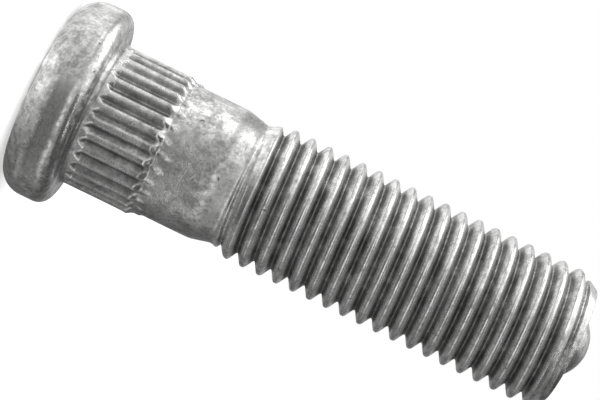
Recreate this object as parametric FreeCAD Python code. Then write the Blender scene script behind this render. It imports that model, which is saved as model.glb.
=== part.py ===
import FreeCAD, Part
import math
import os

os.makedirs("parts", exist_ok=True)

# Driving dimensions of a press-in wheel bolt, in millimetres and degrees.
# It stands on the flat top of its head: z = 0 is that face, and +Z runs to the thread end.
thread_diameter = 11.88
thread_pitch = 1.5
thread_length = 29.7
thread_angle = 60.0
head_height = 4.5
head_overhang = 2.45
head_top_round = 2.2
head_under_round = 1.2
neck_fillet = 0.5
neck_length = 6.0
tooth_count = 30
tooth_height = 0.39
tooth_land = 0.42
shank_diameter = 11.44
shank_length = 4.92
taper_length = 1.7
end_chamfer_angle = 30.0
end_pip_diameter = 5.6
end_pip_height = 1.5

# Radii that follow from them: the plain shank is a little thinner than the thread,
# and the neck's teeth stand on it.
thread_radius = thread_diameter / 2.0
crest_width = 0.24 * thread_pitch
root_width = 0.08 * thread_pitch
flank_slope = math.tan(math.radians(thread_angle / 2.0))
thread_depth = 0.5 * (thread_pitch - crest_width - root_width) / flank_slope
root_radius = thread_radius - thread_depth
blank_radius = thread_radius - 0.74 * thread_depth
shank_radius = shank_diameter / 2.0
neck_radius = shank_radius + tooth_height
head_radius = neck_radius + head_overhang
end_radius = root_radius - 0.05 * thread_pitch
pip_radius = end_pip_diameter / 2.0
dome_radius = 0.5 * (pip_radius ** 2 + end_pip_height ** 2) / end_pip_height

# Stations along the axis, from the head to the thread end
seat_z = head_height
neck_end_z = seat_z + neck_length
shank_start_z = neck_end_z + 1.5 * tooth_height
shank_end_z = shank_start_z + shank_length
blank_z = shank_end_z + taper_length
first_crest_z = blank_z + 0.15 * thread_pitch
full_crest_z = first_crest_z + thread_pitch
end_z = blank_z + thread_length
chamfer_z = end_z - (thread_radius - end_radius) / math.tan(math.radians(end_chamfer_angle))

AXIS_POINT = FreeCAD.Vector(0, 0, 0)
AXIS = FreeCAD.Vector(0, 0, 1)


def point(radius, height):
    return FreeCAD.Vector(radius, 0.0, height)


def line(start, stop):
    return Part.LineSegment(point(*start), point(*stop)).toShape()


def arc(start, centre, radius, middle_angle, stop):
    turn = math.radians(middle_angle)
    middle = (centre[0] + radius * math.cos(turn), centre[1] + radius * math.sin(turn))
    return Part.Arc(point(*start), point(*middle), point(*stop)).toShape()


def turned_blank():
    """Half section of the bolt turned about its axis: every form except the teeth and the thread."""
    top_centre = (head_radius - head_top_round, head_top_round)
    rim_centre = (head_radius - head_under_round, seat_z - head_under_round)
    fillet_centre = (neck_radius + neck_fillet, seat_z + neck_fillet)
    pip_top = end_z + end_pip_height
    dome_centre = (0.0, pip_top - dome_radius)
    dome_middle = 90.0 - 0.5 * math.degrees(math.atan2(pip_radius, dome_radius - end_pip_height))
    section = []

    # Head: flat top, large rounding, rim, smaller rounding at the seat, flat seat
    section.append(line((0.0, 0.0), (top_centre[0], 0.0)))
    section.append(arc((top_centre[0], 0.0), top_centre, head_top_round, -45.0, (head_radius, top_centre[1])))
    section.append(line((head_radius, top_centre[1]), (head_radius, rim_centre[1])))
    seat_edge = (rim_centre[0], seat_z)
    section.append(arc((head_radius, rim_centre[1]), rim_centre, head_under_round, 45.0, seat_edge))
    section.append(line(seat_edge, (fillet_centre[0], seat_z)))

    # Neck with a fillet at the seat and a chamfered end, then the shank and its taper
    neck_foot = (neck_radius, fillet_centre[1])
    section.append(arc((fillet_centre[0], seat_z), fillet_centre, neck_fillet, 225.0, neck_foot))
    section.append(line(neck_foot, (neck_radius, neck_end_z)))
    section.append(line((neck_radius, neck_end_z), (shank_radius, shank_start_z)))
    section.append(line((shank_radius, shank_start_z), (shank_radius, shank_end_z)))
    section.append(line((shank_radius, shank_end_z), (blank_radius, blank_z)))

    # Thread: the crests rise to their full height over the first turn, and the end is chamfered
    section.append(line((blank_radius, blank_z), (blank_radius, first_crest_z)))
    section.append(line((blank_radius, first_crest_z), (thread_radius, full_crest_z)))
    section.append(line((thread_radius, full_crest_z), (thread_radius, chamfer_z)))
    section.append(line((thread_radius, chamfer_z), (end_radius, end_z)))
    section.append(line((end_radius, end_z), (pip_radius, end_z)))

    # Domed pip on the end face
    section.append(arc((pip_radius, end_z), dome_centre, dome_radius, dome_middle, (0.0, pip_top)))
    section.append(line((0.0, pip_top), (0.0, 0.0)))

    return Part.Face(Part.Wire(section)).revolve(AXIS_POINT, AXIS, 360.0)


def flat_face(corners):
    return Part.Face(Part.makePolygon(corners + [corners[0]]))


def solid_from_faces(faces):
    shell = Part.makeShell(faces)
    shell.sewShape()
    solid = Part.makeSolid(shell)
    if solid.Volume < 0.0:
        solid.reverse()
    return solid


def tooth_grooves():
    """V-grooves between the teeth: each sinks in beyond the fillet and runs out over the neck's end."""
    over = 0.3 * tooth_height
    half_mouth = math.pi * neck_radius / tooth_count - 0.5 * tooth_land
    half_outer = half_mouth * (tooth_height + over) / tooth_height
    outer = neck_radius + over
    root = shank_radius + 0.05 * tooth_height
    full_z = seat_z + neck_fillet + 1.6 * tooth_height
    tip_z = full_z - 1.9 * tooth_height
    stop_z = shank_start_z + tooth_height
    tip = FreeCAD.Vector(outer, 0.0, tip_z)
    left_full = FreeCAD.Vector(outer, -half_outer, full_z)
    right_full = FreeCAD.Vector(outer, half_outer, full_z)
    root_full = FreeCAD.Vector(root, 0.0, full_z)
    left_stop = FreeCAD.Vector(outer, -half_outer, stop_z)
    right_stop = FreeCAD.Vector(outer, half_outer, stop_z)
    root_stop = FreeCAD.Vector(root, 0.0, stop_z)
    groove = solid_from_faces([
        flat_face([left_full, root_full, root_stop, left_stop]),
        flat_face([root_full, right_full, right_stop, root_stop]),
        flat_face([tip, root_full, left_full]),
        flat_face([tip, right_full, root_full]),
        flat_face([tip, left_full, left_stop, right_stop, right_full]),
        flat_face([left_stop, root_stop, right_stop]),
    ])
    grooves = []
    for index in range(tooth_count):
        copy = groove.copy()
        copy.rotate(AXIS_POINT, AXIS, index * 360.0 / tooth_count)
        grooves.append(copy)
    return grooves


def helix_curve(radius, offset, start_z, turns, lifts):
    """Right-hand helix through even steps; lifts holds how far each step stands out from its radius."""
    points = []
    parameters = []
    steps = len(lifts) - 1
    for index, lift in enumerate(lifts):
        turn = turns * index / steps
        angle = 2.0 * math.pi * turn
        reach = radius + lift
        height = start_z + offset + thread_pitch * turn
        points.append(FreeCAD.Vector(reach * math.cos(angle), reach * math.sin(angle), height))
        parameters.append(turn)
    curve = Part.BSplineCurve()
    curve.interpolate(Points=points, Parameters=parameters)
    return curve


def ruled_strip(first, second):
    """Face of straight lines between two helices that share their knots."""
    surface = Part.BSplineSurface()
    surface.buildFromPolesMultsKnots(
        [first.getPoles(), second.getPoles()],
        [2, 2],
        first.getMultiplicities(),
        [0.0, 1.0],
        first.getKnots(),
        False,
        False,
        1,
        first.Degree,
    )
    return surface.toShape()


def thread_grooves():
    """The rolled groove, one solid a turn: it sinks in over the first turn and leaves through the end."""
    over = 0.25 * crest_width / flank_slope
    half_root = 0.5 * root_width
    half_outer = 0.5 * (thread_pitch - crest_width) + over * flank_slope
    start_z = blank_z - 0.5 * thread_pitch
    turns = math.ceil((end_z + 0.8 * thread_pitch - start_z) / thread_pitch)
    steps_a_turn = 12
    lifts = []
    for index in range(turns * steps_a_turn + 1):
        sunk = min(index / steps_a_turn, 1.0)
        lifts.append((thread_depth + 0.1 * over) * (1.0 - sunk * sunk * (3.0 - 2.0 * sunk)))
    helices = [
        helix_curve(thread_radius + over, -half_outer, start_z, turns, lifts),
        helix_curve(root_radius, -half_root, start_z, turns, lifts),
        helix_curve(root_radius, half_root, start_z, turns, lifts),
        helix_curve(thread_radius + over, half_outer, start_z, turns, lifts),
    ]
    grooves = []
    for turn in range(turns):
        edges = []
        for helix in helices:
            edge = helix.copy()
            edge.segment(float(turn), float(turn + 1))
            edges.append(edge)
        faces = [ruled_strip(edges[index], edges[(index + 1) % 4]) for index in range(4)]
        faces.append(flat_face([edge.StartPoint for edge in edges]))
        faces.append(flat_face([edge.EndPoint for edge in edges]))
        grooves.append(solid_from_faces(faces))
    return grooves


bolt = turned_blank().cut(tooth_grooves() + thread_grooves()).Solids[0]
bolt.exportStep("parts/wheel_bolt.step")
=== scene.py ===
"""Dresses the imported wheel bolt: one fine skin for the whole bolt, its steel finish and a photo stage."""

import math

import bpy
import numpy as np
from bpy.props import FloatProperty, FloatVectorProperty, IntProperty, PointerProperty
from bpy.types import Operator, Panel, PropertyGroup
from mathutils import Matrix, Vector


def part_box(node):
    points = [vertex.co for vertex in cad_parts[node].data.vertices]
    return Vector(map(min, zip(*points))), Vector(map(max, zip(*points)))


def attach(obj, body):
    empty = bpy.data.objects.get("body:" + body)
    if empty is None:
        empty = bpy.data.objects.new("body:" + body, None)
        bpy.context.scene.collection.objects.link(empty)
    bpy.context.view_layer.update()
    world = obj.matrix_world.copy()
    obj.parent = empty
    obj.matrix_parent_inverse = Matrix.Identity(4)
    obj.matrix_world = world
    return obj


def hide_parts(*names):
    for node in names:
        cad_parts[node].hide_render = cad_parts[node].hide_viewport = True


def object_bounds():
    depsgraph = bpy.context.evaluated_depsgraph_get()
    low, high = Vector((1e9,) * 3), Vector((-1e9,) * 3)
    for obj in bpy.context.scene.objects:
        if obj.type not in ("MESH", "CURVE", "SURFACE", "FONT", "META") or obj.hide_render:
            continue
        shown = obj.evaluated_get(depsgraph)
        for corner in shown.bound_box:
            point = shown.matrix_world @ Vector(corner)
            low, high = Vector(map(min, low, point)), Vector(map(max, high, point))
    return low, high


bl_info = {
    "name": "Wheel Bolt",
    "version": (1, 0, 0),
    "blender": (4, 5, 0),
    "location": "View3D > Sidebar > Wheel Bolt",
    "description": "Builds the skin, the steel finish and the stage of a press-in wheel bolt",
    "category": "Object",
}

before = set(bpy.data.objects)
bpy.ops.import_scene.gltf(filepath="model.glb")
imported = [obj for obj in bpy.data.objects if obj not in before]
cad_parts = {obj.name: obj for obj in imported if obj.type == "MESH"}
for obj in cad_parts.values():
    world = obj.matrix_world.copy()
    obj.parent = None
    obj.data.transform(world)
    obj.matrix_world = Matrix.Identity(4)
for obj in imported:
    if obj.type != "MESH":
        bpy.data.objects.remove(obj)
CAD_LOW, CAD_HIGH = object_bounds()
NODE = "wheel_bolt"
NODE_LOW, NODE_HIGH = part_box(NODE)
BODY = "root"
SKIN = "bolt_skin"
MM = 0.001
TURN = 2.0 * math.pi

# Columns round the head and neck, and round the shank and thread
FINE_COLUMNS = 360
COARSE_COLUMNS = 120

# Rows along the head's half section, in its order from the top to the foot of the neck
TOP_ROWS = 6
TOP_ROUND_ROWS = 15
RIM_ROWS = 6
UNDER_ROUND_ROWS = 8
SEAT_ROWS = 4
FILLET_ROWS = 8

# Rows along the neck's start, its plain teeth, its end and the shank behind it, then the rest of the bolt
NECK_ROWS = (12, 8, 19, 2)
SHANK_ROWS = 5
ROWS_PER_PITCH = 24
END_FACE_ROWS = 4
DOME_ROWS = 12

# Where the rows change along the neck and shank, in millimetres from the forms beside them
NECK_START_LENGTH = 1.1
NECK_END_BEFORE = 0.3
NECK_END_AFTER = 0.9
FINE_END_AFTER = 1.6
THREAD_ROWS_BEFORE = 0.3

# Shares of the thread's pitch or depth, as in the part's source
CREST_SHARE = 0.24
HALF_ROOT_SHARE = 0.04
BLANK_SHARE = 0.74
END_SHARE = 0.05
FIRST_CREST_SHARE = 0.15

# Shares of a tooth's height, as in the part's source
NECK_CHAMFER_SHARE = 1.5
GROOVE_OVER_SHARE = 0.3
GROOVE_ROOT_SHARE = 0.05
GROOVE_FULL_SHARE = 1.6
GROOVE_TIP_SHARE = 1.9

# Least depth of a groove between teeth as a share of the whole; below nought it is outside the neck
GROOVE_LEAST = -0.5

# The thread's groove starts a little above the crests, as a share of its depth; before that it is far outside
GROOVE_LIFT_SHARE = 1.06
FAR_OUTSIDE = 9.0

# Roundings of the skin, in millimetres
TOOTH_ROOT_ROUND = 0.05
TOOTH_ROOT_SINK = 0.03
TOOTH_LAND_ROUND = 0.07
NECK_END_ROUND = 0.10
NECK_FOOT_ROUND = 0.05
TAPER_START_ROUND = 0.12
TAPER_END_ROUND = 0.05
FIRST_CREST_ROUND = 0.15
FULL_CREST_ROUND = 0.05
END_CHAMFER_ROUND = 0.08

# First and last rings of the end face, in millimetres from its edges, and of the dome, in degrees
END_EDGE_STEP = 0.06
PIP_FOOT_STEP = 0.12
PIP_FOOT_ANGLE = 2.0
PIP_LAST_ANGLE = 84.0

# Random differences between the teeth, in millimetres, and sizes of their lips as shares of the height
SEED = 41
GROOVE_SHIFT = (-0.012, 0.012)
GROOVE_START = (-0.10, 0.10)
GROOVE_SINK = (-0.02, 0.03)
LIP_SIZE = (0.60, 1.0)
LIP_REACH = (0.10, 0.50)

# Knocks on the thread's crests, in millimetres; they fade towards the roots by a power
NICK_COUNT = 70
NICK_DEPTH = (0.02, 0.075)
NICK_WIDTH = (0.10, 0.34)
NICK_LENGTH = 0.5
NICK_POWER = 4

# Waves of the forged surface: turns round the bolt, slant along it and fading of the finer ones,
# then the heights on the head over which they begin, and how much of them the shank and thread have
WAVE_COUNT = 14
WAVE_TURNS = (1, 9)
WAVE_SLANT = (-1.6, 1.6)
WAVE_FADE = 0.25
WAVE_SUM = 3.0
HEAD_WAVE_START = (0.2, 1.2)
SHANK_WAVE = 0.6
THREAD_WAVE = 0.25

# Metal smeared off a tooth's end, as soft bumps in millimetres: place and width across the tooth,
# place past the neck's end and length along the bolt, and share of the lip's height
LIP_BUMP = (0.14, 0.17, 0.40, 0.34, 1.0)
TAIL_BUMP = (0.24, 0.10, 0.76, 0.24, 0.7)
CROWN_BUMP = (0.0, 0.36, 0.12, 0.28, 0.5)

# Marks the finish reads: painted shade with grime, rubbed edges with a painted highlight, dull flanks;
# distances in millimetres
MARKS = ("recess", "edge", "flank")
# Painted shade in the fillet under the head, where the neck shades the seat
FILLET_SHADE = 0.55
FILLET_SHADE_HEIGHT = (-0.02, 0.2)
FILLET_SHADE_INSET = (0.9, 2.2)
# Painted shade with grime in the grooves between the teeth
TOOTH_SHADE_AND_GRIME = 0.92
LAND_RUB = 0.35
LAND_RUB_DEPTH = (0.10, 0.01)
# Painted shade with grime beside the thread's roots, left lighter along the middle of each root
ROOT_SHADE_REACH = (0.48, 0.16)
ROOT_LIGHTER_SHARE = 0.45
ROOT_LIGHTER_WIDTH = 0.07
CREST_RUB_WIDTH = 0.09
# Painted highlight: a bright ring all round where the thread begins
FIRST_RING_HIGHLIGHT = 0.9
FIRST_RING_PLACE = 0.45
FIRST_RING_WIDTH = 0.42
FLANK_START = (0.06, 0.20)
FLANK_END = (0.42, 0.58)
FLANK_LEAST = 0.5
FLANK_TURN = (-0.05, 0.05)
THREAD_MARKS_BEFORE = 0.4

# Noises of the coat: scale a metre, detail and roughness, then the values read and what they become
BLOTCH = ((420.0, 3.0, 0.5), (0.38, 0.62, 0.0, 0.34))
MOTTLE = ((1300.0, 3.0, 0.5), (0.38, 0.62, 0.0, 0.40))
SPECKLE = ((3800.0, 2.0, 0.5), (0.40, 0.60, 0.0, 0.32))
# Patches of the rubbed edges and of the painted highlight on the thread's first ring
WEAR_AND_HIGHLIGHT_PATCHES = ((1200.0, 3.0, 0.6), (0.36, 0.62, 0.10, 1.0))
# Patches that break up the painted shade and grime in the hollows
SHADE_AND_GRIME = ((700.0, 4.0, 0.6), (0.25, 0.65, 0.27, 0.72))
SPECKS = ((1700.0, 2.0, 0.5), (0.70, 0.77, 0.0, 1.0))
GRAIN = (5200.0, 4.0, 0.65)
PITS = (1500.0, 3.0, 0.55)

# How strongly the coat's layers show
FLANK_PALENESS = 0.28
FLANK_METAL = (0.0, 1.0, 0.95, 0.70)
# Range of the hollows' mark that turns to painted shade with grime
HOLLOW_SHADE_AND_GRIME = (0.22, 0.80)
SPECK_SHARE = 0.8
GLOSS_STEP = 0.05
DULL_STEP = 0.12
# Extra roughness where the specks and the painted shade with grime darken the coat
GRIME_AND_SHADE_ROUGHNESS = 0.2
PIT_SHARE = 1.2
RELIEF_STRENGTH = 0.7

# Camera and floor, in metres apart from the sensor's millimetres
SENSOR_WIDTH = 36.0
CLIP_START = 0.001
CLIP_END = 10.0
FLOOR_HALF = 3.0
FLOOR_ROUGHNESS = 0.9

# Soft boxes: distance from the bolt and width in metres, and the way to them
LAMP_DISTANCE = 0.24
KEY_LEAN = math.radians(84.0)
KEY_WIDTH = 0.16
TOP_WIDTH = 0.22
TOP_TO_LIT_SIDE = 0.74
TOP_TO_CAMERA = -0.10
TOP_UP = 0.62

# Cards lie just above the floor, stand on a round wall and hang as a ceiling, in metres
CARD_STEPS = 36
LOW_Z = 0.0001
LIT_Z = 0.0002
WALL_RADIUS = 0.26
LIT_RADIUS = 0.25
CEILING_Z = 0.22

# Sections of the cards as pairs of radius and height
CONTACT_RING = ((0.0071, LOW_Z), (0.0088, LOW_Z))
EDGE_RING = ((0.0088, LOW_Z), (0.0102, LOW_Z))
NEAR_RING = ((0.0102, LOW_Z), (0.014, LOW_Z))
MIDDLE_RING = ((0.014, LOW_Z), (0.034, LOW_Z))
FAR_RING = ((0.034, LOW_Z), (WALL_RADIUS, LOW_Z))
LIT_RING = ((0.034, LIT_Z), (0.14, LIT_Z))
WALL = ((WALL_RADIUS, LOW_Z), (WALL_RADIUS, CEILING_Z))
WALL_FOOT = ((WALL_RADIUS, LOW_Z), (WALL_RADIUS, 0.008))
FRONT_WALL = ((WALL_RADIUS, 0.008), (WALL_RADIUS, 0.10))
FRONT_TOP = ((WALL_RADIUS, 0.10), (WALL_RADIUS, CEILING_Z))
LOW_WALL = ((WALL_RADIUS, LOW_Z), (WALL_RADIUS, 0.08))
HIGH_WALL = ((WALL_RADIUS, 0.08), (WALL_RADIUS, CEILING_Z))
CEILING = ((0.0, CEILING_Z), (WALL_RADIUS, CEILING_Z))
CEILING_RING = ((0.09, CEILING_Z), (0.20, CEILING_Z))
STRIP = ((0.060, 0.206), (0.076, 0.209))
LIT_WALL = ((LIT_RADIUS, 0.02), (LIT_RADIUS, 0.09))
LIT_FLOOR = ((0.14, LIT_Z), (0.252, LIT_Z), (0.252, 0.014))
LAMP_SLOPE = ((LIT_RADIUS, 0.09), (LIT_RADIUS, 0.12), (0.17, CEILING_Z))

# Cards: name, section, first and last degrees from the camera's side, greys along the sweep, glow
CARDS = (
    ("contact_card", CONTACT_RING, -60.0, 60.0, (0.62, 0.66, 1.0, 1.0, 0.52, 0.24, 0.18), 0.9),
    ("contact_shade", CONTACT_RING, 60.0, 210.0, (0.18, 0.12, 0.10, 0.64), 0.9),
    ("edge_card", EDGE_RING, -60.0, 60.0, (0.66, 0.68, 0.84, 0.78, 0.44, 0.26, 0.20), 0.7),
    ("edge_shade", EDGE_RING, 60.0, 210.0, (0.20, 0.14, 0.10, 0.72), 0.7),
    ("near_card", NEAR_RING, -75.0, 75.0, (0.85, 0.74, 0.58, 0.48, 0.36, 0.30), 0.5),
    ("near_shade", NEAR_RING, 75.0, 210.0, (0.30, 0.18, 0.12, 0.85), 0.5),
    ("middle_card", MIDDLE_RING, -102.0, 93.0, (0.95, 0.92, 0.80, 0.12, 0.05, 0.09, 0.24), 0.5),
    ("middle_shade", MIDDLE_RING, 93.0, 210.0, (0.26, 0.16, 0.12, 0.85), 0.5),
    ("lit_card", LIT_RING, -112.0, -42.0, (0.60, 0.44, 0.40, 0.48), 0.5),
    ("far_card", FAR_RING, -42.0, 50.0, (0.50, 0.08, 0.10), 0.5),
    ("far_shade", FAR_RING, 50.0, 210.0, (0.22, 0.15, 0.10, 0.85), 0.5),
    ("front_foot", WALL_FOOT, -42.0, 60.0, (0.50, 0.10, 0.12), 0.0),
    ("front_card", FRONT_WALL, -60.0, 60.0, (0.72, 0.78, 0.84, 0.94, 1.0, 1.0, 0.86), 0.0),
    ("front_shade", FRONT_TOP, -60.0, 60.0, (0.96, 0.92, 0.68, 0.54, 0.50, 0.46, 0.40), 0.0),
    ("side_card", LOW_WALL, 60.0, 110.0, (0.80, 0.66, 0.26), 0.0),
    ("side_shade", HIGH_WALL, 60.0, 110.0, (0.40, 0.32, 0.24), 0.0),
    ("rear_card", WALL, 110.0, 210.0, (0.25, 0.10, 0.40, 1.0), 0.0),
    ("lit_ceiling", CEILING_RING, -110.0, -20.0, (1.0, 1.0, 0.95), 0.2),
    ("ceiling_card", CEILING, -20.0, 210.0, (0.08, 0.07, 0.08, 0.12, 1.0), 0.0),
    ("strip_light", STRIP, -70.0, 110.0, (0.80, 0.80), 1.5),
    ("lit_wall", LIT_WALL, -160.0, -36.0, (0.48, 0.46, 0.44, 0.52), 0.15),
    ("lit_floor", LIT_FLOOR, -112.0, -50.0, (0.75, 1.0, 1.0, 0.70), 1.35),
    ("lamp_card", LAMP_SLOPE, -160.0, -36.0, (0.46, 0.50, 0.72, 0.90), 0.5),
)


class BoltSizes(PropertyGroup):
    """Lengths of the bolt's forms, as in the part's source, and of the skin's small forms"""

    head_diameter: FloatProperty(
        name="Head Diameter", description="Width of the round head", unit="LENGTH",
        default=NODE_HIGH.x - NODE_LOW.x)
    head_height: FloatProperty(
        name="Head Height", description="From the top of the head to the seat", unit="LENGTH",
        default=4.5 * MM)
    head_top_round: FloatProperty(
        name="Top Rounding", description="Rounding between the head's top and rim", unit="LENGTH",
        default=2.2 * MM)
    head_under_round: FloatProperty(
        name="Seat Rounding", description="Rounding between the rim and the seat", unit="LENGTH",
        default=1.2 * MM)
    neck_fillet: FloatProperty(
        name="Neck Fillet", description="Rounding between the seat and the neck", unit="LENGTH",
        default=0.5 * MM)
    neck_length: FloatProperty(
        name="Neck Length", description="From the seat to the end of the teeth", unit="LENGTH",
        default=6.0 * MM)
    tooth_count: IntProperty(
        name="Teeth", description="Teeth round the neck", default=30, min=3)
    tooth_height: FloatProperty(
        name="Tooth Height", description="How far the teeth stand above the shank", unit="LENGTH",
        default=0.39 * MM)
    tooth_land: FloatProperty(
        name="Tooth Land", description="Width of a tooth's flat top", unit="LENGTH",
        default=0.42 * MM)
    shank_diameter: FloatProperty(
        name="Shank Diameter", description="Width of the plain shank", unit="LENGTH",
        default=11.44 * MM)
    shank_length: FloatProperty(
        name="Shank Length", description="Length of the plain shank", unit="LENGTH",
        default=4.92 * MM)
    taper_length: FloatProperty(
        name="Taper Length", description="From the shank down to the thread's blank", unit="LENGTH",
        default=1.7 * MM)
    thread_diameter: FloatProperty(
        name="Thread Diameter", description="Width over the thread's crests", unit="LENGTH",
        default=11.88 * MM)
    thread_pitch: FloatProperty(
        name="Thread Pitch", description="From one crest to the next", unit="LENGTH",
        default=1.5 * MM)
    thread_length: FloatProperty(
        name="Thread Length", description="From the end of the taper to the end face", unit="LENGTH",
        default=29.7 * MM)
    thread_angle: FloatProperty(
        name="Thread Angle", description="Angle between the thread's flanks", subtype="ANGLE",
        default=math.radians(60.0))
    end_chamfer_angle: FloatProperty(
        name="End Chamfer", description="Angle of the end chamfer to the axis", subtype="ANGLE",
        default=math.radians(30.0))
    end_pip_diameter: FloatProperty(
        name="Pip Diameter", description="Width of the pip on the end face", unit="LENGTH",
        default=5.6 * MM)
    end_pip_height: FloatProperty(
        name="Pip Height", description="How far the pip stands out", unit="LENGTH",
        default=1.5 * MM)
    crest_round: FloatProperty(
        name="Crest Rounding", description="How far the crests' edges are rolled over", unit="LENGTH",
        default=0.24 * MM)
    root_round: FloatProperty(
        name="Root Rounding", description="How far the roots are filled in", unit="LENGTH",
        default=0.16 * MM)
    burr_height: FloatProperty(
        name="Burr Height", description="Height of the lips at the teeth's ends", unit="LENGTH",
        default=0.17 * MM)
    unevenness: FloatProperty(
        name="Unevenness", description="Height of the forged waves on head and shank", unit="LENGTH",
        default=0.012 * MM)


class BoltFinish(PropertyGroup):
    """Colours and gloss of the coated steel"""

    steel_colour: FloatVectorProperty(
        name="Steel Colour", description="Main tone of the coat", subtype="COLOR",
        default=(0.70, 0.70, 0.695), min=0.0, max=1.0)
    dull_colour: FloatVectorProperty(
        name="Dull Colour", description="Tone of the dull blotches", subtype="COLOR",
        default=(0.29, 0.29, 0.285), min=0.0, max=1.0)
    # Also the tone of the painted shade in the grooves and hollows
    speck_and_shade_colour: FloatVectorProperty(
        name="Speck Colour", description="Tone of specks and of dirt in the grooves", subtype="COLOR",
        default=(0.09, 0.09, 0.089), min=0.0, max=1.0)
    # Also the tone of the painted highlight on the thread's first ring
    worn_and_highlight_colour: FloatVectorProperty(
        name="Worn Colour", description="Tone of rubbed crests and edges", subtype="COLOR",
        default=(0.92, 0.92, 0.915), min=0.0, max=1.0)
    roughness: FloatProperty(
        name="Roughness", description="Roughness of the coat", subtype="FACTOR",
        default=0.23, min=0.0, max=1.0)
    grain_depth: FloatProperty(
        name="Grain Depth", description="Depth of the fine grain", unit="LENGTH",
        default=0.014 * MM)


class StageLook(PropertyGroup):
    """Camera, floor and lights"""

    floor_colour: FloatVectorProperty(
        name="Floor Colour", description="Colour of the pale floor", subtype="COLOR",
        default=(0.80, 0.80, 0.80), min=0.0, max=1.0)
    floor_glow: FloatProperty(
        name="Floor Glow", description="Light that the floor gives off as a light table",
        default=0.45, min=0.0)
    world_light: FloatProperty(
        name="World Light", description="Strength of the even light from all round",
        default=0.7, min=0.0)
    key_power: FloatProperty(
        name="Key Power", description="Power of the soft box at the lit side", unit="POWER",
        default=0.03, min=0.0)
    top_power: FloatProperty(
        name="Top Power", description="Power of the soft box above", unit="POWER",
        default=0.30, min=0.0)
    camera_azimuth: FloatProperty(
        name="Camera Azimuth", description="Direction of the camera round the bolt's axis", subtype="ANGLE",
        default=math.radians(300.8))
    camera_distance: FloatProperty(
        name="Camera Distance", description="From the bolt's axis to the camera", unit="LENGTH",
        default=169.8 * MM)
    camera_height: FloatProperty(
        name="Camera Height", description="Height of the camera above the floor", unit="LENGTH",
        default=23.78 * MM)
    aim_height: FloatProperty(
        name="Aim Height", description="Height of the point that the camera looks at", unit="LENGTH",
        default=22.73 * MM)
    aim_side: FloatProperty(
        name="Aim Side", description="How far beside the axis that point is", unit="LENGTH",
        default=-1.0 * MM)
    axis_slope: FloatProperty(
        name="Axis Slope", description="How far the bolt's axis falls to the right in the picture",
        subtype="ANGLE", default=math.radians(26.05))
    focal_length: FloatProperty(
        name="Focal Length", description="Lens of the camera in millimetres on a 36 mm sensor",
        default=126.0)


def smooth_min(first, second, width):
    """Smaller of two heights, with the edge between them rounded over width."""
    near = np.maximum(width - np.abs(first - second), 0.0) / width
    return np.minimum(first, second) - 0.25 * width * near * near


def smooth_max(first, second, width):
    """Larger of two heights, rounded in the same way."""
    return -smooth_min(-first, -second, width)


def ease(value, low, high):
    """Nought at low and one at high, with a soft start and stop."""
    share = np.clip((value - low) / (high - low), 0.0, 1.0)
    return share * share * (3.0 - 2.0 * share)


def bell(value, width):
    """One at nought, falling off softly to both sides."""
    return np.exp(-(value / width) ** 2)


def soft_bump(side, along, side_place, width, along_place, length, share):
    """Height of a soft bump whose middle is at a place to the side and along."""
    return share * bell(side - side_place, width) * bell(along - along_place, length)


def wrapped(angle):
    """Angle brought between minus and plus half a turn."""
    return (angle + math.pi) % TURN - math.pi


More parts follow.
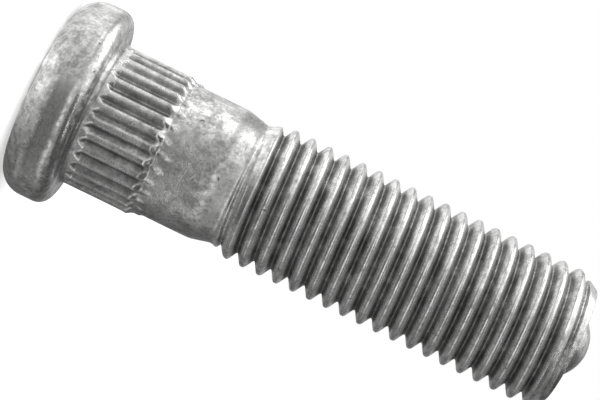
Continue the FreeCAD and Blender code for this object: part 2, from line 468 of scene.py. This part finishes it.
class BoltForm:
    """Radii and stations of the bolt in millimetres, and the radius of its neck, shank and thread."""

    def __init__(self, sizes):
        self.draw = np.random.RandomState(SEED)
        self.read_sizes(sizes)
        self.set_teeth()
        self.set_waves()
        self.set_nicks()

    def read_sizes(self, sizes):
        """Radii and stations that follow from the sizes, as in the part's source."""
        mm = {}
        for name in sizes.bl_rna.properties.keys():
            if sizes.bl_rna.properties[name].unit == "LENGTH":
                mm[name] = getattr(sizes, name) / MM
        self.thread_radius = 0.5 * mm["thread_diameter"]
        self.pitch = mm["thread_pitch"]
        self.flank_slope = math.tan(0.5 * sizes.thread_angle)
        crest_width = CREST_SHARE * self.pitch
        self.half_root = HALF_ROOT_SHARE * self.pitch
        self.thread_depth = (0.5 * (self.pitch - crest_width) - self.half_root) / self.flank_slope
        self.root_radius = self.thread_radius - self.thread_depth
        self.blank_radius = self.thread_radius - BLANK_SHARE * self.thread_depth
        self.shank_radius = 0.5 * mm["shank_diameter"]
        self.tooth_height = mm["tooth_height"]
        self.tooth_count = sizes.tooth_count
        self.tooth_step = TURN / self.tooth_count
        self.neck_radius = self.shank_radius + self.tooth_height
        self.head_radius = 0.5 * mm["head_diameter"]
        self.top_round = mm["head_top_round"]
        self.under_round = mm["head_under_round"]
        self.fillet = mm["neck_fillet"]
        self.end_radius = self.root_radius - END_SHARE * self.pitch
        self.pip_radius = 0.5 * mm["end_pip_diameter"]
        self.pip_height = mm["end_pip_height"]
        self.dome_radius = 0.5 * (self.pip_radius ** 2 + self.pip_height ** 2) / self.pip_height
        self.seat_z = mm["head_height"]
        self.neck_end_z = self.seat_z + mm["neck_length"]
        self.shank_start_z = self.neck_end_z + NECK_CHAMFER_SHARE * self.tooth_height
        self.shank_end_z = self.shank_start_z + mm["shank_length"]
        self.blank_z = self.shank_end_z + mm["taper_length"]
        self.first_crest_z = self.blank_z + FIRST_CREST_SHARE * self.pitch
        self.full_crest_z = self.first_crest_z + self.pitch
        self.end_z = self.blank_z + mm["thread_length"]
        self.groove_z = self.blank_z - 0.5 * self.pitch
        self.chamfer_slope = math.tan(sizes.end_chamfer_angle)
        self.chamfer_z = self.end_z - (self.thread_radius - self.end_radius) / self.chamfer_slope
        self.half_mouth = math.pi * self.neck_radius / self.tooth_count - 0.5 * mm["tooth_land"]
        self.crest_round = mm["crest_round"]
        self.root_round = mm["root_round"]
        self.burr_height = mm["burr_height"]
        self.unevenness = mm["unevenness"]

    def set_teeth(self):
        """Each tooth's own small differences: where its groove starts and how its end was smeared."""
        count = self.tooth_count
        self.groove_shift = self.draw.uniform(*GROOVE_SHIFT, count)
        self.groove_start = self.draw.uniform(*GROOVE_START, count)
        self.groove_sink = self.draw.uniform(*GROOVE_SINK, count)
        self.lip_size = self.draw.uniform(*LIP_SIZE, count)
        self.lip_reach = self.draw.uniform(*LIP_REACH, count)

    def set_waves(self):
        """Long shallow waves of the forged head and shank."""
        self.waves = []
        while len(self.waves) < WAVE_COUNT:
            turns = self.draw.randint(*WAVE_TURNS)
            slant = self.draw.uniform(*WAVE_SLANT)
            phase = self.draw.uniform(0.0, TURN)
            self.waves.append((turns, slant, phase, 1.0 / (1.0 + WAVE_FADE * turns)))

    def set_nicks(self):
        """Small knocks on the thread's crests."""
        self.nick_angle = self.draw.uniform(-math.pi, math.pi, NICK_COUNT)
        self.nick_z = self.draw.uniform(self.full_crest_z, self.end_z - self.pitch, NICK_COUNT)
        self.nick_depth = self.draw.uniform(*NICK_DEPTH, NICK_COUNT)
        self.nick_width = self.draw.uniform(*NICK_WIDTH, NICK_COUNT)

    def wave(self, angle, height):
        """Height of the forged waves."""
        total = np.zeros_like(angle)
        for turns, slant, phase, size in self.waves:
            total = total + size * np.cos(turns * angle + slant * height + phase)
        return self.unevenness * total / WAVE_SUM

    def tooth_groove(self, angle, height):
        """Radius on the faces of the nearest groove between teeth, which go on past the teeth's tops."""
        index = np.round(angle / self.tooth_step).astype(int) % self.tooth_count
        off = wrapped(angle - index * self.tooth_step) * self.neck_radius - self.groove_shift[index]
        across = np.sqrt(off * off + TOOTH_ROOT_ROUND ** 2) - TOOTH_ROOT_SINK
        over = GROOVE_OVER_SHARE * self.tooth_height
        half_outer = self.half_mouth * (self.tooth_height + over) / self.tooth_height
        rise = (self.tooth_height * (1.0 - GROOVE_ROOT_SHARE) + over) / half_outer
        root = self.shank_radius + GROOVE_ROOT_SHARE * self.tooth_height
        full_z = self.seat_z + self.fillet + GROOVE_FULL_SHARE * self.tooth_height + self.groove_start[index]
        tip_z = full_z - GROOVE_TIP_SHARE * self.tooth_height
        sunk = np.clip((height - tip_z) / (full_z - tip_z), GROOVE_LEAST, 1.0)
        floor = root + (1.0 - sunk) * (self.neck_radius + over - root) - self.groove_sink[index] * sunk
        return floor + across * rise

    def smeared_lip(self, angle, height):
        """Height of the metal smeared off the end of each tooth onto the shank."""
        ridge = np.floor(angle / self.tooth_step).astype(int) % self.tooth_count
        side = wrapped(angle - (ridge + 0.5) * self.tooth_step) * self.neck_radius
        along = height - self.neck_end_z
        past_reach = along - self.lip_reach[ridge]
        bumps = soft_bump(side, past_reach, *LIP_BUMP)
        bumps = bumps + soft_bump(side, past_reach, *TAIL_BUMP)
        bumps = bumps + soft_bump(side, along, *CROWN_BUMP)
        return self.burr_height * self.lip_size[ridge] * bumps

    def neck_at(self, angle, height):
        """Radius of the toothed neck and of the shank behind it."""
        radius = smooth_min(self.neck_radius, self.tooth_groove(angle, height), TOOTH_LAND_ROUND)
        cone = self.neck_radius - (height - self.neck_end_z) / NECK_CHAMFER_SHARE
        radius = smooth_min(radius, cone, NECK_END_ROUND)
        radius = smooth_max(radius, self.shank_radius, NECK_FOOT_ROUND)
        return radius + self.smeared_lip(angle, height)

    def groove_turn(self, angle, height):
        """Turns of the thread's groove up to a place; whole numbers lie on the middle of its root."""
        return (height - self.groove_z) / self.pitch - angle / TURN

    def groove_floor(self, turn):
        """Radius of the thread groove's bottom; it sinks in over the first turn."""
        lift = self.thread_depth * GROOVE_LIFT_SHARE * (1.0 - ease(turn, 0.0, 1.0))
        return self.root_radius + lift + FAR_OUTSIDE * (turn < 0.0)

    def blank_at(self, height):
        """Radius of the shank, its taper and the crests, which rise over the first turn."""
        taper_slope = (self.shank_radius - self.blank_radius) / (self.blank_z - self.shank_end_z)
        taper = self.shank_radius - (height - self.shank_end_z) * taper_slope
        crest_slope = (self.thread_radius - self.blank_radius) / (self.full_crest_z - self.first_crest_z)
        crest = self.blank_radius + (height - self.first_crest_z) * crest_slope
        crest = smooth_max(crest, self.blank_radius, FIRST_CREST_ROUND)
        blank = smooth_min(self.shank_radius, taper, TAPER_START_ROUND)
        blank = smooth_max(blank, crest, TAPER_END_ROUND)
        return smooth_min(blank, self.thread_radius, FULL_CREST_ROUND)

    def thread_at(self, angle, height):
        """Radius of the tapered shank and the thread."""
        radius = self.blank_at(height)
        place = self.groove_turn(angle, height)
        for count in (np.floor(place), np.floor(place) + 1.0):
            away = np.abs(place - count) * self.pitch
            flank = (away - self.half_root) / self.flank_slope
            cut = smooth_max(flank, 0.0, self.root_round) + self.groove_floor(count + angle / TURN)
            radius = smooth_min(radius, cut, self.crest_round)
        crest = np.clip((radius - self.root_radius) / self.thread_depth, 0.0, 1.0) ** NICK_POWER
        radius = radius - crest * self.nick_at(angle, height)
        chamfer = self.end_radius + (self.end_z - height) * self.chamfer_slope
        return smooth_min(radius, chamfer, END_CHAMFER_ROUND)

    def nick_at(self, angle, height):
        """Depth of the knocks at a place."""
        depth = np.zeros_like(angle)
        for place, z, sink, width in zip(self.nick_angle, self.nick_z, self.nick_depth, self.nick_width):
            side = wrapped(angle - place) * self.thread_radius
            depth = np.maximum(depth, sink * bell(side, width) * bell(height - z, NICK_LENGTH))
        return depth

    def beside_crest(self, angle, height):
        """Distance along the axis from the middle of the nearest crest, positive towards the thread's end."""
        place = self.groove_turn(angle, height)
        return (place - np.floor(place) - 0.5) * self.pitch

    def crest_line(self, angle, height):
        """One along the middle of each crest, which is rubbed bright, falling off beside it."""
        return bell(self.beside_crest(angle, height), CREST_RUB_WIDTH)

    def first_ring_highlight(self, height):
        """Painted highlight: the low ring where the thread begins is made bright all round."""
        return FIRST_RING_HIGHLIGHT * bell(height - self.blank_z - FIRST_RING_PLACE, FIRST_RING_WIDTH)

    def root_shade_and_grime(self, angle, height):
        """Painted shade with grime beside the root of the groove; the middle of the root is left lighter."""
        from_root = 0.5 * self.pitch - np.abs(self.beside_crest(angle, height))
        lightened = ROOT_LIGHTER_SHARE * bell(from_root, ROOT_LIGHTER_WIDTH)
        return ease(from_root, *ROOT_SHADE_REACH) * (1.0 - lightened)

    def rubbed_flank(self, angle, height):
        """How far the flanks are rubbed dull; most on the one towards the thread's end."""
        beside = self.beside_crest(angle, height)
        upper = ease(np.abs(beside), *FLANK_START) * (1.0 - ease(np.abs(beside), *FLANK_END))
        return upper * (FLANK_LEAST + (1.0 - FLANK_LEAST) * ease(beside, *FLANK_TURN))


def arc_rows(centre, radius, first, last, count):
    """Places along an arc of the half section, as pairs of radius and height."""
    turns = np.radians(np.linspace(first, last, count))
    return [(centre[0] + radius * math.cos(turn), centre[1] + radius * math.sin(turn)) for turn in turns]


def line_rows(start, stop, count):
    """Places along a straight run of the half section, without its first point."""
    shares = np.linspace(0.0, 1.0, count + 1)[1:]
    return [(start[0] + (stop[0] - start[0]) * s, start[1] + (stop[1] - start[1]) * s) for s in shares]


def head_rows(form):
    """Half section of the head from the middle of its top to the foot of the neck."""
    top = (form.head_radius - form.top_round, form.top_round)
    rim = (form.head_radius - form.under_round, form.seat_z - form.under_round)
    foot = (form.neck_radius + form.fillet, form.seat_z + form.fillet)
    rows = line_rows((0.0, 0.0), (top[0], 0.0), TOP_ROWS)
    rows += arc_rows(top, form.top_round, -90.0, 0.0, TOP_ROUND_ROWS)[1:]
    rows += line_rows((form.head_radius, top[1]), (form.head_radius, rim[1]), RIM_ROWS)
    rows += arc_rows(rim, form.under_round, 0.0, 90.0, UNDER_ROUND_ROWS)[1:]
    rows += line_rows((rim[0], form.seat_z), (foot[0], form.seat_z), SEAT_ROWS)
    rows += arc_rows(foot, form.fillet, 270.0, 180.0, FILLET_ROWS)[1:]
    return rows


def end_rows(form):
    """Half section of the end face and its domed pip, after the thread's last ring."""
    edge = (form.end_radius - END_EDGE_STEP, form.end_z)
    foot = (form.pip_radius + PIP_FOOT_STEP, form.end_z)
    dome = (0.0, form.end_z + form.pip_height - form.dome_radius)
    first = math.degrees(math.acos(form.pip_radius / form.dome_radius)) + PIP_FOOT_ANGLE
    rows = line_rows(edge, foot, END_FACE_ROWS)
    rows += arc_rows(dome, form.dome_radius, first, PIP_LAST_ANGLE, DOME_ROWS)
    return rows


def row_heights(stops, counts):
    """Heights from stop to stop, with a count of rows for each run and without the first stop."""
    runs = [np.linspace(low, high, count + 1)[1:] for low, high, count in zip(stops, stops[1:], counts)]
    return np.concatenate(runs)


class SkinMesh:
    """Collects rings of points along the bolt, the marks on them and the faces between them."""

    def __init__(self):
        self.points = []
        self.marks = {name: [] for name in MARKS}
        self.faces = []
        self.count = 0
        self.last = None

    def pole(self, height):
        """Adds one point on the axis and gives its number."""
        self.points.append(np.array([[0.0, 0.0, height]]))
        for values in self.marks.values():
            values.append(np.zeros(1))
        self.count += 1
        return self.count - 1

    def ring(self, angle, radius, height, **marks):
        """Adds one ring and joins it to the ring before it; a mark that isn't given is nought."""
        columns = len(angle)
        radius = np.broadcast_to(radius, (columns,))
        height = np.broadcast_to(height, (columns,))
        self.points.append(np.stack([radius * np.cos(angle), radius * np.sin(angle), height], 1))
        for name, values in self.marks.items():
            values.append(np.broadcast_to(marks.get(name, 0.0), (columns,)))
        start = self.count
        self.count += columns
        if self.last is not None:
            self.join(self.last, start, columns)
        self.last = (start, columns)

    def join(self, last, start, columns):
        """Faces between two rings; the first may have several columns for each of the second."""
        before, before_columns = last
        ratio = before_columns // columns
        for column in range(columns):
            after = (column + 1) % columns
            face = [start + after, start + column]
            for fine in range(ratio + 1):
                face.append(before + (column * ratio + fine) % before_columns)
            self.faces.append(face)

    def fan(self, pole, ring, at_start):
        """Faces between a pole and a ring, turned outward at the bolt's start or end."""
        start, columns = ring
        for column in range(columns):
            after = (column + 1) % columns
            face = [pole, start + after, start + column]
            self.faces.append(face if at_start else face[::-1])


def even_angles(columns):
    """Angles of evenly spread columns round the axis."""
    return np.arange(columns) * TURN / columns


def add_head(skin, form, angles):
    """Head from the middle of its top to the foot of the neck."""
    top_pole = skin.pole(0.0)
    for index, (radius, height) in enumerate(head_rows(form)):
        wave = ease(height, *HEAD_WAVE_START) * form.wave(angles, height)
        # Painted shade in the fillet between the seat and the neck
        low, high = FILLET_SHADE_HEIGHT
        in_fillet = ease(height, form.seat_z + low, form.seat_z + high)
        in_fillet = in_fillet * ease(form.head_radius - radius, *FILLET_SHADE_INSET)
        skin.ring(angles, radius + wave, height, recess=FILLET_SHADE * in_fillet)
        if index == 0:
            skin.fan(top_pole, skin.last, True)


def add_neck(skin, form, angles, last_z):
    """Toothed neck and the first part of the shank."""
    start_z = form.seat_z + form.fillet
    stops = (
        start_z,
        start_z + NECK_START_LENGTH,
        form.neck_end_z - NECK_END_BEFORE,
        form.shank_start_z + NECK_END_AFTER,
        last_z,
    )
    for height in row_heights(stops, NECK_ROWS):
        radius = form.neck_at(angles, height)
        depth = np.clip((form.neck_radius - radius) / form.tooth_height, 0.0, 1.0)
        toothed = 1.0 - ease(height, form.neck_end_z, form.shank_start_z)
        low, high = LAND_RUB_DEPTH
        land = ease(radius, form.neck_radius - low, form.neck_radius - high)
        # Painted shade with grime, deeper where the grooves between the teeth are deeper
        skin.ring(
            angles, radius + SHANK_WAVE * form.wave(angles, height), height,
            recess=TOOTH_SHADE_AND_GRIME * np.sqrt(depth) * toothed,
            edge=LAND_RUB * land)


def add_thread(skin, form, angles, first_z):
    """Rest of the shank, taper and thread."""
    thread_z = form.shank_end_z - THREAD_ROWS_BEFORE
    rows = int(math.ceil((form.end_z - thread_z) * ROWS_PER_PITCH / form.pitch))
    for height in row_heights((first_z, thread_z, form.end_z), (SHANK_ROWS, rows)):
        radius = form.thread_at(angles, height)
        plain = 1.0 - ease(height, form.shank_end_z, form.blank_z)
        waviness = THREAD_WAVE + (SHANK_WAVE - THREAD_WAVE) * plain
        threaded = ease(height, form.blank_z - THREAD_MARKS_BEFORE, form.full_crest_z)
        threaded = threaded * (1.0 - ease(height, form.chamfer_z, form.end_z))
        # Painted shade with grime beside the roots; the edge mark holds the rubbed crests and a painted
        # highlight on the thread's first ring
        skin.ring(
            angles, radius + waviness * form.wave(angles, height), height,
            recess=threaded * form.root_shade_and_grime(angles, height),
            edge=np.maximum(threaded * form.crest_line(angles, height), form.first_ring_highlight(height)),
            flank=threaded * form.rubbed_flank(angles, height))


def add_end(skin, form, angles):
    """End face and pip."""
    for radius, height in end_rows(form):
        skin.ring(angles, radius, height)
    end_pole = skin.pole(form.end_z + form.pip_height)
    skin.fan(end_pole, skin.last, False)


def skin_mesh(form):
    """The bolt's whole skin, from the middle of the head's top to the middle of the pip."""
    skin = SkinMesh()
    fine = even_angles(FINE_COLUMNS)
    coarse = even_angles(COARSE_COLUMNS)
    change_z = form.shank_start_z + FINE_END_AFTER
    add_head(skin, form, fine)
    add_neck(skin, form, fine, change_z)
    add_thread(skin, form, coarse, change_z)
    add_end(skin, form, coarse)
    return skin


def add_point_values(mesh, name, values):
    """Keeps one number for each point of a mesh, for its finish to read."""
    layer = mesh.attributes.new(name, "FLOAT", "POINT")
    layer.data.foreach_set("value", np.concatenate(values).astype(np.float32))


class NodeKit:
    """Adds nodes to one shader tree and links them; each kind gives back its output."""

    def __init__(self, tree):
        self.nodes = tree.nodes
        self.links = tree.links

    def noise(self, place, scale, detail, roughness):
        node = self.nodes.new("ShaderNodeTexNoise")
        node.inputs["Scale"].default_value = scale
        node.inputs["Detail"].default_value = detail
        node.inputs["Roughness"].default_value = roughness
        self.links.new(place, node.inputs["Vector"])
        return node.outputs["Fac"]

    def spread(self, value, low, high, to_low=0.0, to_high=1.0):
        """Values from low to high, softly brought to a new range."""
        node = self.nodes.new("ShaderNodeMapRange")
        node.interpolation_type = "SMOOTHSTEP"
        node.inputs["From Min"].default_value = low
        node.inputs["From Max"].default_value = high
        node.inputs["To Min"].default_value = to_low
        node.inputs["To Max"].default_value = to_high
        self.links.new(value, node.inputs["Value"])
        return node.outputs["Result"]

    def patches(self, place, noise, reading):
        """Noise brought to the range in which it is read."""
        return self.spread(self.noise(place, *noise), *reading)

    def combine(self, operation, first, second):
        node = self.nodes.new("ShaderNodeMath")
        node.operation = operation
        for socket, value in zip(node.inputs, (first, second)):
            if isinstance(value, float):
                socket.default_value = value
            else:
                self.links.new(value, socket)
        return node.outputs["Value"]

    def mix(self, factor, first, second):
        node = self.nodes.new("ShaderNodeMix")
        node.data_type = "RGBA"
        self.links.new(factor, node.inputs["Factor"])
        for socket, value in ((node.inputs["A"], first), (node.inputs["B"], second)):
            if isinstance(value, bpy.types.NodeSocket):
                self.links.new(value, socket)
            else:
                socket.default_value = (*value, 1.0)
        return node.outputs["Result"]

    def mark(self, name):
        """Number that the mesh keeps for each point under a name."""
        node = self.nodes.new("ShaderNodeAttribute")
        node.attribute_type = "GEOMETRY"
        node.attribute_name = name
        return node.outputs["Fac"]


def coated_steel(finish):
    """Satin grey coat on forged steel: blotches, specks, painted shade with grime in grooves, rubbed crests,
    a painted highlight, fine grain.
    """
    material = bpy.data.materials.new("coated_steel")
    material.use_nodes = True
    kit = NodeKit(material.node_tree)
    kit.nodes.clear()
    output = kit.nodes.new("ShaderNodeOutputMaterial")
    shader = kit.nodes.new("ShaderNodeBsdfPrincipled")
    kit.links.new(shader.outputs["BSDF"], output.inputs["Surface"])
    place = kit.nodes.new("ShaderNodeTexCoord").outputs["Object"]

    # Soft blotches, finer mottling and speckles
    patch = kit.combine("ADD", kit.patches(place, *BLOTCH), kit.patches(place, *MOTTLE))
    patch = kit.combine("ADD", patch, kit.patches(place, *SPECKLE))
    colour = kit.mix(patch, finish.steel_colour, finish.dull_colour)

    # Edges rubbed bright with a painted highlight on the thread's first ring, and flanks that are paler and
    # less like a mirror
    rubbed = kit.combine("MULTIPLY", kit.mark("edge"), kit.patches(place, *WEAR_AND_HIGHLIGHT_PATCHES))
    colour = kit.mix(rubbed, colour, finish.worn_and_highlight_colour)
    flank = kit.mark("flank")
    colour = kit.mix(kit.combine("MULTIPLY", flank, FLANK_PALENESS), colour, finish.worn_and_highlight_colour)
    kit.links.new(kit.spread(flank, *FLANK_METAL), shader.inputs["Metallic"])

    # Painted shade with grime in the grooves and hollows, and scattered specks
    shade_and_grime_in_hollows = kit.spread(kit.mark("recess"), *HOLLOW_SHADE_AND_GRIME)
    grime_and_shade = kit.combine("MULTIPLY", shade_and_grime_in_hollows, kit.patches(place, *SHADE_AND_GRIME))
    specks = kit.combine("MULTIPLY", kit.patches(place, *SPECKS), SPECK_SHARE)
    grime_and_shade = kit.combine("MAXIMUM", grime_and_shade, specks)
    colour = kit.mix(grime_and_shade, colour, finish.speck_and_shade_colour)
    kit.links.new(colour, shader.inputs["Base Color"])

    # Dull where blotched, specked or darkened by painted shade with grime
    rough = kit.spread(patch, 0.0, 1.0, finish.roughness - GLOSS_STEP, finish.roughness + DULL_STEP)
    rough = kit.combine("ADD", rough, kit.combine("MULTIPLY", grime_and_shade, GRIME_AND_SHADE_ROUGHNESS))
    kit.links.new(rough, shader.inputs["Roughness"])

    # Fine grain and pits
    pits = kit.combine("MULTIPLY", kit.noise(place, *PITS), PIT_SHARE)
    relief = kit.combine("ADD", kit.noise(place, *GRAIN), pits)
    bump = kit.nodes.new("ShaderNodeBump")
    bump.inputs["Strength"].default_value = RELIEF_STRENGTH
    bump.inputs["Distance"].default_value = finish.grain_depth
    kit.links.new(relief, bump.inputs["Height"])
    kit.links.new(bump.outputs["Normal"], shader.inputs["Normal"])
    return material


class BOLT_OT_skin(Operator):
    """Builds the bolt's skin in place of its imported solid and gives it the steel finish"""

    bl_idname = "bolt.skin"
    bl_label = "Build Bolt Skin"

    def execute(self, context):
        skin = skin_mesh(BoltForm(context.scene.bolt_sizes))
        mesh = bpy.data.meshes.new(SKIN)
        points = np.concatenate(skin.points) * MM
        mesh.from_pydata(points.tolist(), [], skin.faces)
        if mesh.validate():
            raise RuntimeError("the bolt's skin has faults in its faces")
        for name, values in skin.marks.items():
            add_point_values(mesh, name, values)
        mesh.shade_smooth()
        mesh.materials.append(coated_steel(context.scene.bolt_finish))
        piece = bpy.data.objects.new(SKIN, mesh)
        context.scene.collection.objects.link(piece)
        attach(piece, BODY)
        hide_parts(NODE)
        return {"FINISHED"}


def camera_axes(look):
    """Place of the camera and its right, up and back directions."""
    azimuth = look.camera_azimuth
    outward = Vector((math.cos(azimuth), math.sin(azimuth), 0.0))
    sideways = Vector((-math.sin(azimuth), math.cos(azimuth), 0.0))
    upward = Vector((0.0, 0.0, 1.0))
    place = outward * look.camera_distance + upward * look.camera_height
    aim = sideways * look.aim_side + upward * look.aim_height
    ahead = (aim - place).normalized()
    along = (upward - ahead * upward.dot(ahead)).normalized()
    across = ahead.cross(along)
    right = along * math.cos(look.axis_slope) - across * math.sin(look.axis_slope)
    down = along * math.sin(look.axis_slope) + across * math.cos(look.axis_slope)
    return place, right, -down, -ahead


def matrix_of(place, right, up, back):
    """World matrix whose columns are those directions."""
    turn = Matrix((right, up, back)).transposed()
    return Matrix.Translation(place) @ turn.to_4x4()


def facing(place, target):
    """World matrix of a lamp at a place, turned to a target."""
    return Matrix.Translation(place) @ (target - place).to_track_quat("-Z", "Y").to_matrix().to_4x4()


def add_camera(look):
    """Camera of the photograph."""
    scene = bpy.context.scene
    data = bpy.data.cameras.new("camera")
    data.sensor_width = SENSOR_WIDTH
    data.lens = look.focal_length
    data.clip_start = CLIP_START
    data.clip_end = CLIP_END
    camera = bpy.data.objects.new("camera", data)
    scene.collection.objects.link(camera)
    camera.matrix_world = matrix_of(*camera_axes(look))
    scene.camera = camera


def floor_finish(look):
    """Pale table top that glows a little from below and keeps the bolt's shadow."""
    material = bpy.data.materials.new("light_table")
    material.use_nodes = True
    shader = material.node_tree.nodes["Principled BSDF"]
    shader.inputs["Base Color"].default_value = (*look.floor_colour, 1.0)
    shader.inputs["Roughness"].default_value = FLOOR_ROUGHNESS
    shader.inputs["Specular IOR Level"].default_value = 0.0
    shader.inputs["Emission Color"].default_value = (1.0, 1.0, 1.0, 1.0)
    shader.inputs["Emission Strength"].default_value = look.floor_glow
    return material


def add_floor(look):
    """Wide square floor on which the bolt stands."""
    corners = [(x * FLOOR_HALF, y * FLOOR_HALF, 0.0) for x, y in ((-1, -1), (1, -1), (1, 1), (-1, 1))]
    mesh = bpy.data.meshes.new("floor")
    mesh.from_pydata(corners, [], [(0, 1, 2, 3)])
    mesh.materials.append(floor_finish(look))
    floor = bpy.data.objects.new("floor", mesh)
    bpy.context.scene.collection.objects.link(floor)


def card_finish(name, glow):
    """Matt card whose grey, kept at its corners, the bright steel mirrors; it may glow like a lamp."""
    material = bpy.data.materials.new(name)
    material.use_nodes = True
    kit = NodeKit(material.node_tree)
    shader = kit.nodes["Principled BSDF"]
    tone = kit.mark("tone")
    kit.links.new(tone, shader.inputs["Base Color"])
    shader.inputs["Roughness"].default_value = 1.0
    shader.inputs["Specular IOR Level"].default_value = 0.0
    kit.links.new(tone, shader.inputs["Emission Color"])
    shader.inputs["Emission Strength"].default_value = glow
    return material


def add_card(name, section, first, last, tones, glow):
    """Card swept round the bolt's axis along a section; only the steel's reflections see it.

    The section is pairs of radius and height, and the grey runs through the tones along the sweep.
    """
    points = []
    tone = []
    faces = []
    width = len(section)
    for index in range(CARD_STEPS + 1):
        share = index / CARD_STEPS
        azimuth = first + (last - first) * share
        grey = np.interp(share, np.linspace(0.0, 1.0, len(tones)), tones)
        for radius, height in section:
            points.append((radius * math.cos(azimuth), radius * math.sin(azimuth), height))
            tone.append(grey)
    for index in range(CARD_STEPS):
        for row in range(width - 1):
            corner = index * width + row
            faces.append((corner, corner + 1, corner + width + 1, corner + width))
    mesh = bpy.data.meshes.new(name)
    mesh.from_pydata(points, [], faces)
    add_point_values(mesh, "tone", [np.array(tone)])
    mesh.materials.append(card_finish(name, glow))
    card = bpy.data.objects.new(name, mesh)
    bpy.context.scene.collection.objects.link(card)
    card.visible_camera = False
    card.visible_diffuse = False
    card.visible_shadow = False


def add_soft_box(name, place, target, width, power):
    """Square lamp at a place, turned to a target."""
    data = bpy.data.lights.new(name, "AREA")
    data.shape = "RECTANGLE"
    data.size = width
    data.size_y = width
    data.energy = power
    lamp = bpy.data.objects.new(name, data)
    bpy.context.scene.collection.objects.link(lamp)
    lamp.matrix_world = facing(place, target)


def add_lamps(look):
    """Soft boxes at the lit side of the bolt, one level with its middle and one above."""
    azimuth = look.camera_azimuth
    outward = Vector((math.cos(azimuth), math.sin(azimuth), 0.0))
    lit_side = Vector((math.sin(azimuth), -math.cos(azimuth), 0.0))
    upward = Vector((0.0, 0.0, 1.0))
    middle = upward * (0.5 * CAD_HIGH.z)
    to_key = outward * math.cos(KEY_LEAN) + lit_side * math.sin(KEY_LEAN)
    to_top = lit_side * TOP_TO_LIT_SIDE + outward * TOP_TO_CAMERA + upward * TOP_UP
    add_soft_box("key_box", middle + LAMP_DISTANCE * to_key, middle, KEY_WIDTH, look.key_power)
    add_soft_box("top_box", middle + LAMP_DISTANCE * to_top, middle, TOP_WIDTH, look.top_power)


def set_world(look):
    """Even light from all round, and plain white for what the camera and the bright steel see."""
    world = bpy.data.worlds.new("white_studio")
    world.use_nodes = True
    kit = NodeKit(world.node_tree)
    kit.nodes.clear()
    output = kit.nodes.new("ShaderNodeOutputWorld")
    light = kit.nodes.new("ShaderNodeBackground")
    light.inputs["Strength"].default_value = look.world_light
    seen = kit.nodes.new("ShaderNodeBackground")
    seen.inputs["Strength"].default_value = 1.0
    for background in (light, seen):
        background.inputs["Color"].default_value = (1.0, 1.0, 1.0, 1.0)
    path = kit.nodes.new("ShaderNodeLightPath").outputs
    mirrored = kit.combine("MAXIMUM", path["Is Glossy Ray"], path["Is Transmission Ray"])
    shown = kit.combine("MAXIMUM", path["Is Camera Ray"], mirrored)
    mix = kit.nodes.new("ShaderNodeMixShader")
    kit.links.new(shown, mix.inputs["Fac"])
    kit.links.new(light.outputs["Background"], mix.inputs[1])
    kit.links.new(seen.outputs["Background"], mix.inputs[2])
    kit.links.new(mix.outputs["Shader"], output.inputs["Surface"])
    bpy.context.scene.world = world


class BOLT_OT_stage(Operator):
    """Sets the camera, the pale floor, the cards, the lights and the white surroundings"""

    bl_idname = "bolt.stage"
    bl_label = "Set Stage"

    def execute(self, context):
        look = context.scene.stage_look
        azimuth = look.camera_azimuth
        context.scene.view_settings.view_transform = "Standard"
        add_camera(look)
        add_floor(look)
        for name, section, first, last, tones, glow in CARDS:
            start = azimuth + math.radians(first)
            stop = azimuth + math.radians(last)
            add_card(name, section, start, stop, tones, glow)
        add_lamps(look)
        set_world(look)
        return {"FINISHED"}


class BOLT_PT_panel(Panel):
    """Buttons and values of the wheel bolt"""

    bl_idname = "BOLT_PT_panel"
    bl_label = "Wheel Bolt"
    bl_space_type = "VIEW_3D"
    bl_region_type = "UI"
    bl_category = "Wheel Bolt"

    def draw(self, context):
        layout = self.layout
        for operator in (BOLT_OT_skin, BOLT_OT_stage):
            layout.operator(operator.bl_idname)
        for group in (context.scene.bolt_sizes, context.scene.bolt_finish, context.scene.stage_look):
            box = layout.box()
            for name in group.__annotations__:
                box.prop(group, name)


CLASSES = (BoltSizes, BoltFinish, StageLook, BOLT_OT_skin, BOLT_OT_stage, BOLT_PT_panel)


def register():
    for cls in CLASSES:
        bpy.utils.register_class(cls)
    bpy.types.Scene.bolt_sizes = PointerProperty(type=BoltSizes)
    bpy.types.Scene.bolt_finish = PointerProperty(type=BoltFinish)
    bpy.types.Scene.stage_look = PointerProperty(type=StageLook)


def unregister():
    del bpy.types.Scene.stage_look
    del bpy.types.Scene.bolt_finish
    del bpy.types.Scene.bolt_sizes
    for cls in reversed(CLASSES):
        bpy.utils.unregister_class(cls)


def main():
    register()
    bpy.ops.bolt.skin()
    bpy.ops.bolt.stage()


if __name__ == "__main__":
    main()
